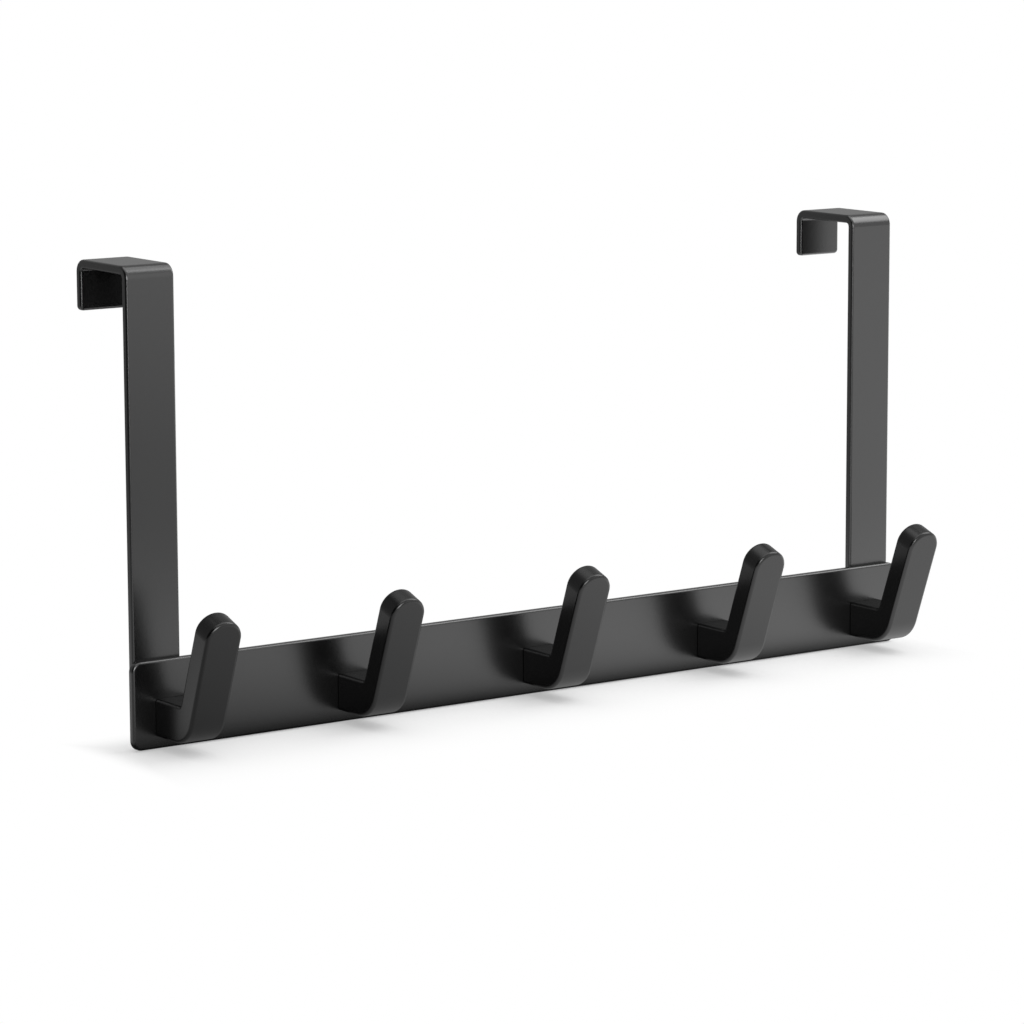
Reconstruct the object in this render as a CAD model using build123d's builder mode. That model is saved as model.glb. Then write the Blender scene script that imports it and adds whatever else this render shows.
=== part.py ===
# Over door hook: a flat rail with five cast hooks, hung from two straps that pass over the top of a door.
# Millimetres, +Z up, front is -Y. The origin is the middle of the door's top front edge:
# Y = 0 is the door's front face and Z = 0 is the door's top.
import math
import os

from build123d import *

os.makedirs("parts", exist_ok=True)

# Rail
rail_length = 440.0
rail_height = 40.0
rail_thickness = 4.0
rail_corner = 4.5
rail_ease = 1.2

# Straps
door_gap = 36.5
strap_thickness = 4.0
strap_width = 24.5
strap_inset = 2.5
rail_drop = 211.0
lip_length = 19.0
bend_inside = 1.8
lip_corner = 2.0
strap_ease = 1.2

# Hooks
hook_width = 18.0
hook_margin = 20.5
end_pitch = 96.0
arm_thickness = 11.2
arm_tilt = 20.2
arm_reach = 24.6
arm_tip = 63.0
root_bottom = 5.5
root_top = 22.7
heel_radius = 15.5
crotch_radius = 2.5
hook_ease = 1.6
root_ease = 0.6

# Screws
screw_diameter = 4.0
screw_length = 14.0
screw_head = 8.4
screw_point = 0.6
screw_spread = 9.4
drive_width = 1.1
drive_span = 4.4
drive_depth = 1.5
head_sink = 0.15
shank_clearance = 0.25
thread_clearance = 0.05
hole_spare = 1.5

# Places that follow from the sizes
strap_front = -strap_thickness
rail_front = strap_front - rail_thickness
rail_bottom = -rail_drop
strap_x = rail_length / 2 - strap_inset - strap_width / 2
screw_mid = rail_bottom + (root_bottom + root_top) / 2
screw_heights = (screw_mid - screw_spread / 2, screw_mid + screw_spread / 2)
end_x = rail_length / 2 - hook_margin
next_x = end_x - end_pitch
hook_places = (-end_x, -next_x, 0.0, next_x, end_x)
end_holes = [(x, z) for x in (-end_x, end_x) for z in screw_heights]
inner_holes = [(x, z) for x in (-next_x, 0.0, next_x) for z in screw_heights]
shank_hole = screw_diameter / 2 + shank_clearance
thread_hole = screw_diameter / 2 + thread_clearance
sink_radius = screw_head / 2 + head_sink
sink_angle = 90.0


def from_behind(y):
    """The upright plane at this Y that faces back, so its own X runs towards -X."""
    return Plane(origin=(0, y, 0), x_dir=(-1, 0, 0), z_dir=(0, 1, 0))


def mirrored(places):
    """Points at X and Z, as they lie on a plane seen from behind."""
    return [(-x, z) for x, z in places]


# Rail
with BuildPart() as rail:
    with BuildSketch(Plane.XZ.offset(-strap_front)):
        with Locations((0, rail_bottom + rail_height / 2)):
            RectangleRounded(rail_length, rail_height, rail_corner)
    extrude(amount=rail_thickness)
    fillet(rail.faces().sort_by(Axis.Y)[0].edges(), rail_ease)
    fillet(rail.faces().sort_by(Axis.Y)[-1].edges(), rail_ease)
    with Locations(from_behind(strap_front)):
        with Locations(*mirrored(inner_holes)):
            CounterSinkHole(shank_hole, sink_radius, rail_thickness, sink_angle)
        with Locations(*mirrored(end_holes)):
            Hole(shank_hole, rail_thickness)
rail.part.label = "rail"
export_step(rail.part, "parts/rail.step")

# Straps
leg_bottom = rail_bottom + strap_inset
lip_back = door_gap + strap_thickness
for name, side in (("strap_left", -1), ("strap_right", 1)):
    with BuildPart() as strap:
        with BuildSketch(Plane.YZ.offset(side * strap_x)):
            with BuildLine():
                outer = FilletPolyline(
                    (strap_front, leg_bottom),
                    (strap_front, strap_thickness),
                    (lip_back, strap_thickness),
                    (lip_back, -lip_length),
                    radius=bend_inside + strap_thickness,
                )
                inner = FilletPolyline(
                    (0, leg_bottom),
                    (0, 0),
                    (door_gap, 0),
                    (door_gap, -lip_length),
                    radius=bend_inside,
                )
                Line(outer @ 0, inner @ 0)
                Line(outer @ 1, inner @ 1)
            make_face()
        extrude(amount=strap_width / 2, both=True)
        ends = strap.faces().filter_by(Axis.Z).sort_by(Axis.Z)
        fillet(ends[0].edges().filter_by(Axis.Y), rail_corner - strap_inset)
        ends = strap.faces().filter_by(Axis.Z).sort_by(Axis.Z)
        fillet(ends[1].edges().filter_by(Axis.Y), lip_corner)
        fillet(strap.edges().filter_by(Axis.Z), strap_ease)
        with Locations(from_behind(0)):
            with Locations(*mirrored([hole for hole in end_holes if hole[0] * side > 0])):
                CounterSinkHole(shank_hole, sink_radius, strap_thickness, sink_angle)
    strap.part.label = name
    export_step(strap.part, f"parts/{name}.step")

# Hooks
lean = math.radians(arm_tilt)
rise = (-math.sin(lean), math.cos(lean))
across = (math.cos(lean), math.sin(lean))
arm_length = arm_tip / math.cos(lean)
arm_foot = (rail_front - arm_reach, rail_bottom)
front_tip = (arm_foot[0] + arm_length * rise[0], arm_foot[1] + arm_length * rise[1])
back_tip = (front_tip[0] + arm_thickness * across[0], front_tip[1] + arm_thickness * across[1])
heel = (arm_foot[0] - root_bottom * math.tan(lean), rail_bottom + root_bottom)
crotch_y = back_tip[0] + (back_tip[1] - rail_bottom - root_top) * math.tan(lean)
crotch = (crotch_y, rail_bottom + root_top)
arm_face = Plane(origin=(0, *arm_foot), x_dir=(1, 0, 0), z_dir=(0, -across[0], -across[1]))
for number, place in enumerate(hook_places, start=1):
    with BuildPart() as hook:
        with BuildSketch(Plane.YZ.offset(place)) as profile:
            with BuildLine():
                Polyline(
                    (rail_front, crotch[1]),
                    (rail_front, heel[1]),
                    heel,
                    front_tip,
                    back_tip,
                    crotch,
                    close=True,
                )
            make_face()
            fillet(profile.vertices().sort_by_distance((*heel, 0))[0], heel_radius)
            fillet(profile.vertices().sort_by_distance((*crotch, 0))[0], crotch_radius)
        extrude(amount=hook_width / 2, both=True)
        with BuildSketch(arm_face):
            with Locations((place, arm_length - hook_width / 2)):
                Circle(hook_width / 2)
                Rectangle(2 * hook_width, 2 * arm_length, align=(Align.CENTER, Align.MAX))
        extrude(amount=arm_length, both=True, mode=Mode.INTERSECT)
        fillet(hook.edges().filter_by(Axis((0, 0, 0), (0, *rise))), hook_ease)
        fillet(hook.faces().sort_by(Axis.Y)[-1].edges(), root_ease)
        with Locations(from_behind(rail_front)):
            with Locations(*mirrored([(place, z) for z in screw_heights])):
                Hole(thread_hole, screw_length - rail_thickness + hole_spare)
    hook.part.label = f"hook_{number}"
    export_step(hook.part, f"parts/hook_{number}.step")

# Screws
shank = screw_diameter / 2
cone = screw_head / 2 - shank
with BuildPart() as screws:
    for seat, holes in ((0.0, end_holes), (strap_front, inner_holes)):
        top = seat - head_sink
        end = top - screw_length
        for x, z in holes:
            with BuildSketch(Plane.XY.offset(z)):
                with BuildLine():
                    Polyline(
                        (x, top),
                        (x + screw_head / 2, top),
                        (x + shank, top - cone),
                        (x + shank, end + screw_point),
                        (x + shank - screw_point, end),
                        (x, end),
                        close=True,
                    )
                make_face()
            revolve(axis=Axis((x, 0, z), (0, 1, 0)))
        with BuildSketch(from_behind(top)):
            with Locations(*mirrored(holes)):
                Rectangle(drive_span, drive_width)
                Rectangle(drive_width, drive_span)
        extrude(amount=-drive_depth, mode=Mode.SUBTRACT)
screws.part.label = "hook_screws"
export_step(screws.part, "parts/hook_screws.step")
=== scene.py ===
"""Looks of the over door hook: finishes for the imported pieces, a white studio and the camera.

Everything is in metres, in the part's own frame: X along the rail, Y into the door, Z up.
The origin is the middle of the door's top front edge, and the hooks point to -Y.
"""
import logging
from dataclasses import dataclass
from enum import Enum
from typing import Union

import bpy
import numpy as np
from mathutils import Matrix, Vector


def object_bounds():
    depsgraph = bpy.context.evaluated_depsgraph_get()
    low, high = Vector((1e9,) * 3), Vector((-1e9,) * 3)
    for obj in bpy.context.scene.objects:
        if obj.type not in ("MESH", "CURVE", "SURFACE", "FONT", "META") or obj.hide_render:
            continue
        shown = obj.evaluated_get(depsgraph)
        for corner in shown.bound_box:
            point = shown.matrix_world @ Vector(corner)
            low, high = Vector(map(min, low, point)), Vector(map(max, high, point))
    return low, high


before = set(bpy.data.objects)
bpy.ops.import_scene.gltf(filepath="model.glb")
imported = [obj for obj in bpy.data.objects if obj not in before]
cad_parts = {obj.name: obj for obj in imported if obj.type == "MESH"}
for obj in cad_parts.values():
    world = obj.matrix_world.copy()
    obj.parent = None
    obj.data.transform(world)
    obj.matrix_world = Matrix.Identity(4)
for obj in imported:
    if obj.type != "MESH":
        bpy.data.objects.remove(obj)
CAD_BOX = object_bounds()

log = logging.getLogger("over_door_hook")

PICTURE_WIDTH = 1024.0
SENSOR_WIDTH = 36.0
WHITE = (1.0, 1.0, 1.0, 1.0)

Value = Union[bpy.types.NodeSocket, float, tuple]
Colour = tuple[float, float, float]
Place = tuple[float, float, float]


class NodeKind(Enum):
    """Shader nodes used here, by Blender's own names."""

    BACKGROUND = "ShaderNodeBackground"
    BLEND = "ShaderNodeMixShader"
    BUMP = "ShaderNodeBump"
    COORDS = "ShaderNodeTexCoord"
    DIFFUSE = "ShaderNodeBsdfDiffuse"
    EMISSION = "ShaderNodeEmission"
    GIVEN = "NodeGroupInput"
    GROUP = "ShaderNodeGroup"
    MATH = "ShaderNodeMath"
    MIX = "ShaderNodeMix"
    NOISE = "ShaderNodeTexNoise"
    OUTPUT = "ShaderNodeOutputMaterial"
    PRINCIPLED = "ShaderNodeBsdfPrincipled"
    RANGE = "ShaderNodeMapRange"
    RAYS = "ShaderNodeLightPath"
    SPLIT = "ShaderNodeSeparateXYZ"
    TAKEN = "NodeGroupOutput"
    WORLD_OUTPUT = "ShaderNodeOutputWorld"


class Operation(Enum):
    """Operations of the math node, by Blender's own names."""

    ABSOLUTE = "ABSOLUTE"
    ADD = "ADD"
    MAXIMUM = "MAXIMUM"
    MULTIPLY = "MULTIPLY"
    SUBTRACT = "SUBTRACT"


@dataclass(frozen=True)
class Ramp:
    """A value that goes from low to high while another goes from start to end, and stays level outside them."""

    start: float
    end: float
    low: float
    high: float
    smooth: bool = True


class Wiring:
    """A node tree with short ways to add its nodes and join them."""

    def __init__(self, tree: bpy.types.NodeTree) -> None:
        """Takes a tree and empties it.

        Args:
            tree: The node tree of a material, a world or a group.
        """
        self.tree = tree
        tree.nodes.clear()

    def feed(self, spot: bpy.types.NodeSocket, value: Value) -> None:
        """Gives an input its value.

        Args:
            spot: The input.
            value: Another node's output to link, or a number or colour to set.
        """
        if isinstance(value, bpy.types.NodeSocket):
            self.tree.links.new(value, spot)
        else:
            spot.default_value = value

    def fill(self, node: bpy.types.Node, values: dict[Union[str, int], Value]) -> bpy.types.Node:
        """Gives several inputs of a node their values.

        Args:
            node: The node.
            values: Each input's value, by its number or by its name among the inputs in use.

        Returns:
            The same node.
        """
        for key, value in values.items():
            spot = node.inputs[key] if isinstance(key, int) else next(s for s in node.inputs if s.name == key and s.enabled)
            self.feed(spot, value)
        return node

    def add(self, kind: NodeKind, values: dict[Union[str, int], Value] | None = None) -> bpy.types.Node:
        """Adds a node.

        Args:
            kind: Which node.
            values: Its inputs' values, as fill takes them.

        Returns:
            The node.
        """
        return self.fill(self.tree.nodes.new(kind.value), values or {})

    def math(self, operation: Operation, first: Value, second: Value = 0.0) -> bpy.types.NodeSocket:
        """Adds a math node.

        Args:
            operation: What it does with its two inputs.
            first: The first input's value.
            second: The second input's value.

        Returns:
            Its result.
        """
        node = self.add(NodeKind.MATH)
        node.operation = operation.value
        return self.fill(node, {0: first, 1: second}).outputs[0]

    def product(self, *values: Value) -> bpy.types.NodeSocket:
        """Multiplies two or more values.

        Args:
            *values: Outputs or numbers.

        Returns:
            Their product.
        """
        result = values[0]
        for value in values[1:]:
            result = self.math(Operation.MULTIPLY, result, value)
        return result

    def ramp(self, value: Value, ramp: Ramp) -> bpy.types.NodeSocket:
        """Adds a ramp, straight or as a smooth step.

        Args:
            value: What the ramp runs along.
            ramp: Its ends.

        Returns:
            The ramp's value.
        """
        node = self.add(NodeKind.RANGE)
        node.interpolation_type = "SMOOTHSTEP" if ramp.smooth else "LINEAR"
        ends = {"From Min": ramp.start, "From Max": ramp.end, "To Min": ramp.low, "To Max": ramp.high}
        return self.fill(node, {"Value": value, **ends}).outputs["Result"]

    def mix_colours(self, share: Value, first: Colour, second: Colour) -> bpy.types.NodeSocket:
        """Mixes two colours.

        Args:
            share: How much of the second colour, from 0 to 1.
            first: The colour at 0.
            second: The colour at 1.

        Returns:
            The mixed colour.
        """
        node = self.add(NodeKind.MIX)
        node.data_type = "RGBA"
        self.fill(node, {"Factor": share, "A": (*first, 1.0), "B": (*second, 1.0)})
        return next(s for s in node.outputs if s.enabled)

    def rays(self) -> tuple[bpy.types.NodeSocket, bpy.types.NodeSocket]:
        """Tells the kinds of ray apart.

        Returns:
            1 for a camera ray, and 1 for a ray mirrored by gloss or let through by glass, otherwise 0.
        """
        path = self.add(NodeKind.RAYS).outputs
        mirrored = self.math(Operation.MAXIMUM, path["Is Glossy Ray"], path["Is Transmission Ray"])
        return path["Is Camera Ray"], mirrored


class CoatGroup:
    """The surface of a sprayed coat as a node group: peel, grain and slow drifts of tone and gloss."""

    NAME = "coat_surface"
    INPUTS = (
        ("Peel Scale", 600.0),
        ("Grain Scale", 4500.0),
        ("Grain Share", 0.3),
        ("Roughness", 0.4),
        ("Roughness Spread", 0.05),
        ("Drift Scale", 18.0),
    )
    OUTPUTS = ("Height", "Tone", "Roughness")
    DETAIL = (("Peel Scale", 1.0), ("Grain Scale", 2.0), ("Drift Scale", 3.0))

    def tree(self) -> bpy.types.NodeTree:
        """Builds the group once.

        The height is (1 - share) x peel + share x grain, two noises of different size. The tone is a slow
        noise between 0 and 1. The roughness is its middle value plus spread x (slow noise - 0.5).

        Returns:
            The node group, with the outputs Height, Tone and Roughness.
        """
        found = bpy.data.node_groups.get(self.NAME)
        if found is not None:
            return found
        tree = bpy.data.node_groups.new(self.NAME, "ShaderNodeTree")
        for name, value in self.INPUTS:
            tree.interface.new_socket(name, in_out="INPUT", socket_type="NodeSocketFloat").default_value = value
        for name in self.OUTPUTS:
            tree.interface.new_socket(name, in_out="OUTPUT", socket_type="NodeSocketFloat")
        wiring = Wiring(tree)
        given = wiring.add(NodeKind.GIVEN).outputs
        place = wiring.add(NodeKind.COORDS).outputs["Object"]
        peel, grain, drift = (
            wiring.add(NodeKind.NOISE, {"Vector": place, "Scale": given[scale], "Detail": detail}).outputs[0]
            for scale, detail in self.DETAIL
        )
        share = given["Grain Share"]
        rest = wiring.math(Operation.SUBTRACT, 1.0, share)
        height = wiring.math(Operation.ADD, wiring.product(peel, rest), wiring.product(grain, share))
        sway = wiring.product(wiring.math(Operation.SUBTRACT, drift, 0.5), given["Roughness Spread"])
        roughness = wiring.math(Operation.ADD, given["Roughness"], sway)
        wiring.add(NodeKind.TAKEN, {"Height": height, "Tone": drift, "Roughness": roughness})
        return tree


@dataclass(frozen=True)
class SprayedCoat:
    """A satin black powder coat.

    Peel is the gentle waviness that a sprayed coat sets with, grain its fine matt tooth. Sizes are in metres.
    """

    name: str
    dark: Colour = (0.0008, 0.0008, 0.0009)
    light: Colour = (0.0018, 0.0018, 0.0019)
    peel_size: float = 0.0018
    grain_size: float = 0.00025
    grain_share: float = 0.25
    relief: float = 0.000012
    roughness: float = 0.26
    roughness_spread: float = 0.05
    drift_size: float = 0.05
    ior: float = 1.65
    metallic: float = 0.0

    def material(self) -> bpy.types.Material:
        """Builds the material.

        Returns:
            A node material with colour, roughness and bump from the coat group.
        """
        made = bpy.data.materials.new(self.name)
        made.use_nodes = True
        wiring = Wiring(made.node_tree)
        surface = wiring.add(NodeKind.GROUP)
        surface.node_tree = CoatGroup().tree()
        settings = {
            "Peel Scale": 1.0 / self.peel_size,
            "Grain Scale": 1.0 / self.grain_size,
            "Grain Share": self.grain_share,
            "Roughness": self.roughness,
            "Roughness Spread": self.roughness_spread,
            "Drift Scale": 1.0 / self.drift_size,
        }
        given = wiring.fill(surface, settings).outputs
        bump = wiring.add(NodeKind.BUMP, {"Strength": 1.0, "Distance": self.relief, "Height": given["Height"]})
        looks = {
            "Base Color": wiring.mix_colours(given["Tone"], self.dark, self.light),
            "Roughness": given["Roughness"],
            "Normal": bump.outputs["Normal"],
            "Metallic": self.metallic,
            "IOR": self.ior,
        }
        shader = wiring.add(NodeKind.PRINCIPLED, looks)
        wiring.add(NodeKind.OUTPUT, {"Surface": shader.outputs[0]})
        return made


@dataclass(frozen=True)
class BlackZinc(SprayedCoat):
    """Black zinc plating on a steel screw: dark, nearly all metallic and finer in its grain than a sprayed coat."""

    name: str = "black_zinc_plating"
    dark: Colour = (0.10, 0.10, 0.105)
    light: Colour = (0.16, 0.16, 0.165)
    peel_size: float = 0.00045
    grain_size: float = 0.00011
    grain_share: float = 0.6
    relief: float = 0.000006
    roughness: float = 0.36
    roughness_spread: float = 0.12
    drift_size: float = 0.0025
    ior: float = 1.5
    metallic: float = 0.85


def dress(node: str, material: bpy.types.Material) -> bpy.types.Object:
    """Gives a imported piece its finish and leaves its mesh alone.

    Args:
        node: The piece's name in the frame.
        material: The finish for all its faces.

    Returns:
        The piece's object.
    """
    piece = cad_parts[node]
    if not piece.material_slots:
        piece.data.materials.append(material)
    for place in piece.material_slots:
        place.material = material
    log.info("%s dressed in %s", node, material.name)
    return piece


@dataclass
class FlatStock:
    """The rail and the two bent straps, all of flat steel bar."""

    coat: SprayedCoat = SprayedCoat("rail_and_strap_coat")
    nodes: tuple[str, ...] = ("rail", "strap_left", "strap_right")

    def build(self) -> list[bpy.types.Object]:
        """Dresses the rail and both straps in one coat, and returns them."""
        material = self.coat.material()
        return [dress(node, material) for node in self.nodes]


@dataclass
class CastHooks:
    """The five cast hooks."""

    count: int = 5
    coat: SprayedCoat = SprayedCoat("hook_coat", relief=0.000010, ior=1.45)

    def build(self) -> list[bpy.types.Object]:
        """Dresses every hook in one coat, and returns them."""
        material = self.coat.material()
        return [dress(f"hook_{number}", material) for number in range(1, self.count + 1)]


@dataclass
class HookScrews:
    """The countersunk screws behind the hooks."""

    plating: BlackZinc = BlackZinc()

    def build(self) -> list[bpy.types.Object]:
        """Dresses the group of screws, and returns it."""
        return [dress("hook_screws", self.plating.material())]


@dataclass(frozen=True)
class Softbox:
    """A rectangular studio lamp, placed by its centre and turned towards a target, all in metres."""

    name: str
    centre: Place
    width: float
    height: float
    power: float
    target: Place = (0.0, 0.0, -0.15)

    def build(self) -> bpy.types.Object:
        """Makes the lamp and turns its face to the target.

        Returns:
            The lamp's object.
        """
        lamp = bpy.data.lights.new(self.name, "AREA")
        lamp.shape = "RECTANGLE"
        lamp.size = self.width
        lamp.size_y = self.height
        lamp.energy = self.power
        made = bpy.data.objects.new(self.name, lamp)
        made.location = self.centre
        towards = Vector(self.target) - Vector(self.centre)
        made.rotation_euler = towards.to_track_quat("-Z", "Y").to_euler()
        bpy.context.scene.collection.objects.link(made)
        return made


def staged(name: str, points: np.ndarray, finish: bpy.types.Material) -> bpy.types.Object:
    """Makes a four cornered sheet that belongs to the studio.

    Args:
        name: The object's name.
        points: Its corners, of a grid of two by two, row by row.
        finish: Its material.

    Returns:
        The sheet's object.
    """
    mesh = bpy.data.meshes.new(name)
    mesh.from_pydata(points.tolist(), [], [(0, 1, 3, 2)])
    mesh.materials.append(finish)
    made = bpy.data.objects.new(name, mesh)
    bpy.context.scene.collection.objects.link(made)
    return made


@dataclass(frozen=True)
class Board:
    """An upright board that only shows in the gloss of the coat: a painted reflection, bright or dark, that gives
    no diffuse light and casts no shadow.

    It stands on a straight line from one point of the floor to another, X and Y in metres. Lift is how far
    its lower edge is above the floor, and glow is how bright it is, where 1 is white.
    """

    name: str
    start: tuple[float, float]
    end: tuple[float, float]
    height: float
    glow: float
    lift: float = 0.0

    def build(self, level: float) -> bpy.types.Object:
        """Makes the board.

        The corners are start + u (end - start) across and level + lift + v height up, for u and v of 0 and 1.

        Args:
            level: The floor's height.

        Returns:
            The board's object.
        """
        u, v = np.meshgrid([0.0, 1.0], [0.0, 1.0])
        start, end = np.array(self.start), np.array(self.end)
        flat = start + u.reshape(-1, 1) * (end - start)
        points = np.column_stack([flat, level + self.lift + v.ravel() * self.height])
        finish = bpy.data.materials.new(self.name)
        finish.use_nodes = True
        wiring = Wiring(finish.node_tree)
        glow = wiring.add(NodeKind.EMISSION, {"Strength": self.glow})
        wiring.add(NodeKind.OUTPUT, {"Surface": glow.outputs[0]})
        made = staged(self.name, points, finish)
        made.visible_camera = made.visible_diffuse = made.visible_shadow = made.visible_transmission = False
        return made


@dataclass
class Studio:
    """A white floor under the rail, a white surround, softboxes, and boards and flags seen only in gloss, which
    paint reflections into the coat.
    """

    floor_drop: float = 0.0004
    floor_reach: float = 14.0
    floor_tone: float = 0.82
    surround: float = 0.75
    end_pull: float = 5.0
    back_pull: float = 3.0
    shadow: Ramp = Ramp(0.015, 0.095, 0.6, 0.0)
    # The ramps from contact to behind paint light and shade into the floor as the gloss sees it: a painted contact
    # shadow under the rail, a painted rise from the shaded back left to the lit front right, its fades, and
    # brighter and darker bands behind the rail.
    contact: Ramp = Ramp(0.008, 0.048, 0.12, 1.0)
    rise: Ramp = Ramp(-0.078, 0.15, 0.55, 1.88, smooth=False)
    front_fade: Ramp = Ramp(0.15, 0.45, 0.0, 0.62)
    side_fade: Ramp = Ramp(0.3, 0.6, 1.0, 0.2, smooth=False)
    behind: tuple[Ramp, ...] = (Ramp(0.0, 0.03, 1.0, 1.35), Ramp(0.15, 0.32, 1.0, 0.50))
    boards: tuple[Board, ...] = (
        # Grey boards behind, seen only in gloss: painted reflections in the faces that mirror the back, such as the
        # bridges' tops.
        Board("back_board", (-0.30, 0.45), (2.2, 0.45), 1.2, 0.42),
        Board("back_board_left", (-2.2, 0.45), (-0.30, 0.45), 1.2, 0.30),
        # A nearly black board on the left: a painted dark reflection along the left edges and sides.
        Board("left_board", (-0.69, -0.63), (-0.90, 0.34), 1.0, 0.02),
        # A bright strip at the front left: painted highlights along the hooks' tips and their upper left edges.
        Board("front_strip", (-0.34, -1.06), (-0.72, -0.94), 0.53, 11.0, lift=0.15),
        # Two black flags beside the straps' tops: painted dark reflections in the lips' inner faces.
        Board("left_flag", (-0.192, -0.002), (-0.160, -0.002), 0.050, 0.0, lift=0.170),
        Board("right_flag", (0.2180, -0.002), (0.2365, -0.002), 0.050, 0.0, lift=0.170),
    )
    lamps: tuple[Softbox, ...] = (
        Softbox("overhead", (0.0, 0.0, 1.2), 1.2, 1.0, 4.4),
        Softbox("high_right", (0.9, -0.3, 0.9), 0.9, 0.9, 9.0),
        Softbox("front_right", (0.6, -1.6, 0.5), 0.9, 0.9, 1.5),
    )

    def world(self) -> bpy.types.World:
        """Surrounds the scene with white: full white where it is seen or mirrored, less for its light.

        Returns:
            The world.
        """
        world = bpy.data.worlds.new("white_surround")
        world.use_nodes = True
        wiring = Wiring(world.node_tree)
        shown = wiring.math(Operation.MAXIMUM, *wiring.rays())
        light, white = (
            wiring.add(NodeKind.BACKGROUND, {"Color": WHITE, "Strength": strength}).outputs[0]
            for strength in (self.surround, 1.0)
        )
        choice = wiring.add(NodeKind.BLEND, {0: shown, 1: light, 2: white})
        wiring.add(NodeKind.WORLD_OUTPUT, {"Surface": choice.outputs[0]})
        bpy.context.scene.world = world
        return world

    def mirrored_floor(
        self, wiring: Wiring, x: bpy.types.NodeSocket, y: bpy.types.NodeSocket, away: bpy.types.NodeSocket
    ) -> bpy.types.NodeSocket:
        """Works out how bright the floor is in the gloss of the coat: painted light and shade that only mirrored
        rays see.

        It rises in a straight line with 0.57 x - 0.81 y, as painted light from the shaded back left to the lit
        front right. It fades again by a share that grows with -y and shrinks with x, is dark right under the rail
        as a painted contact shadow, and behind the rail it is brighter near it and darker far off.

        Args:
            wiring: The floor's node tree.
            x: Place along the rail.
            y: Place across it.
            away: Distance from the rail's line.

        Returns:
            The brightness, where 1 is white.
        """
        slope = wiring.math(Operation.SUBTRACT, wiring.product(x, 0.57), wiring.product(y, 0.81))
        fade = wiring.product(wiring.ramp(wiring.product(y, -1.0), self.front_fade), wiring.ramp(x, self.side_fade))
        return wiring.product(
            wiring.ramp(slope, self.rise),
            wiring.math(Operation.SUBTRACT, 1.0, fade),
            wiring.ramp(away, self.contact),
            *(wiring.ramp(y, ramp) for ramp in self.behind),
        )

    def floor_material(self) -> bpy.types.Material:
        """Builds the floor's finish: white paint that keeps the object's shadow.

        The colour is (1 - w) x lit paint + w x white. For a camera ray w is 1 - the shadow's share, which
        falls to 0 between two distances from the rail's line. The distance is the longest of -y,
        back pull x y and end pull x (|x| - half the rail's length), so that the shadow ends sooner behind
        the rail and past its ends. A mirrored ray sees only the brightness of mirrored_floor, which is painted
        light and shade.

        Returns:
            The material.
        """
        made = bpy.data.materials.new("white_floor")
        made.use_nodes = True
        wiring = Wiring(made.node_tree)
        place = wiring.add(NodeKind.COORDS).outputs["Object"]
        x, y, _ = wiring.add(NodeKind.SPLIT, {0: place}).outputs
        half = max(corner[0] for corner in CAD_BOX)
        beside = wiring.product(wiring.math(Operation.SUBTRACT, wiring.math(Operation.ABSOLUTE, x), half), self.end_pull)
        across = wiring.math(Operation.MAXIMUM, wiring.product(y, -1.0), wiring.product(y, self.back_pull))
        away = wiring.math(Operation.MAXIMUM, beside, across)
        seen, mirrored = wiring.rays()
        plain = wiring.product(seen, wiring.math(Operation.SUBTRACT, 1.0, wiring.ramp(away, self.shadow)))
        gloss = wiring.product(mirrored, self.mirrored_floor(wiring, x, y, away))
        paint = wiring.add(NodeKind.DIFFUSE, {"Color": (self.floor_tone, self.floor_tone, self.floor_tone, 1.0)})
        white = wiring.add(NodeKind.EMISSION, {"Strength": wiring.math(Operation.ADD, seen, gloss)})
        share = wiring.math(Operation.ADD, plain, mirrored)
        choice = wiring.add(NodeKind.BLEND, {0: share, 1: paint.outputs[0], 2: white.outputs[0]})
        wiring.add(NodeKind.OUTPUT, {"Surface": choice.outputs[0]})
        return made

    def build(self) -> None:
        """Sets up the surround, the lamps, the boards and the floor, a square from -reach to reach both ways."""
        self.world()
        bottom = min(corner[2] for corner in CAD_BOX)
        x, y = np.meshgrid([-self.floor_reach, self.floor_reach], [-self.floor_reach, self.floor_reach])
        staged("floor", np.column_stack([x.ravel(), y.ravel(), np.full(4, bottom - self.floor_drop)]), self.floor_material())
        for lamp in self.lamps:
            lamp.build()
        for board in self.boards:
            board.build(bottom)
        bpy.context.scene.view_settings.view_transform = "Standard"
        log.info("studio with %d softboxes and %d boards", len(self.lamps), len(self.boards))


@dataclass(frozen=True)
class PhotoCamera:
    """The camera of the photograph, from where it stood and how it was turned.

    Yaw turns it from +Y towards -X, pitch tips it down and roll turns the picture, all in degrees. The
    focal length is in pixels of a picture 1024 wide.
    """

    place: Place = (-1.1019, -1.5543, 0.1838)
    yaw: float = -35.097
    pitch: float = 9.220
    roll: float = 0.197
    focal: float = 4099.9

    def build(self) -> bpy.types.Object:
        """Makes the camera and looks through it.

        The view axis is (-sin yaw cos pitch, cos yaw cos pitch, -sin pitch). The picture's right and down
        are square to it, turned about it by the roll.

        Returns:
            The camera's object.
        """
        yaw, pitch, roll = np.radians([self.yaw, self.pitch, self.roll])
        ahead = np.array([-np.sin(yaw) * np.cos(pitch), np.cos(yaw) * np.cos(pitch), -np.sin(pitch)])
        level = np.array([np.cos(yaw), np.sin(yaw), 0.0])
        plumb = np.cross(ahead, level)
        right = np.cos(roll) * level + np.sin(roll) * plumb
        down = -np.sin(roll) * level + np.cos(roll) * plumb
        lens = bpy.data.cameras.new("photo_camera")
        lens.sensor_width = SENSOR_WIDTH
        lens.lens = self.focal / PICTURE_WIDTH * SENSOR_WIDTH
        lens.clip_end = 100.0
        made = bpy.data.objects.new("photo_camera", lens)
        turn = Matrix((right, -down, -ahead)).transposed()
        made.matrix_world = Matrix.Translation(Vector(self.place)) @ turn.to_4x4()
        bpy.context.scene.collection.objects.link(made)
        bpy.context.scene.camera = made
        log.info("camera lens %.1f mm", lens.lens)
        return made


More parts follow.
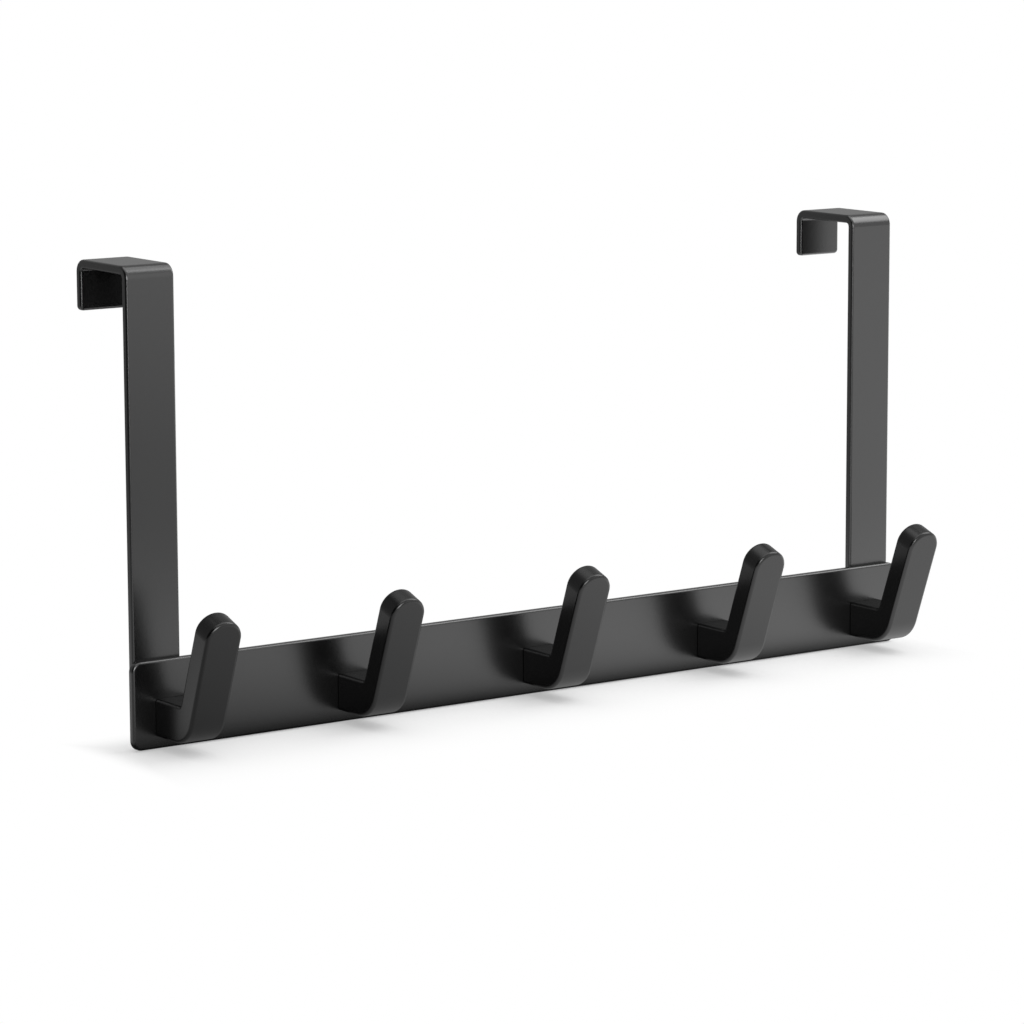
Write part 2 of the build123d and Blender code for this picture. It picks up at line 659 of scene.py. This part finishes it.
def main() -> None:
    """Builds the pieces' finishes, the studio and the camera, in that order."""
    logging.basicConfig(level=logging.INFO, format="%(name)s: %(message)s")
    pieces = FlatStock().build() + CastHooks().build() + HookScrews().build()
    log.info("%d pieces dressed", len(pieces))
    Studio().build()
    PhotoCamera().build()


if __name__ == "__main__":
    main()
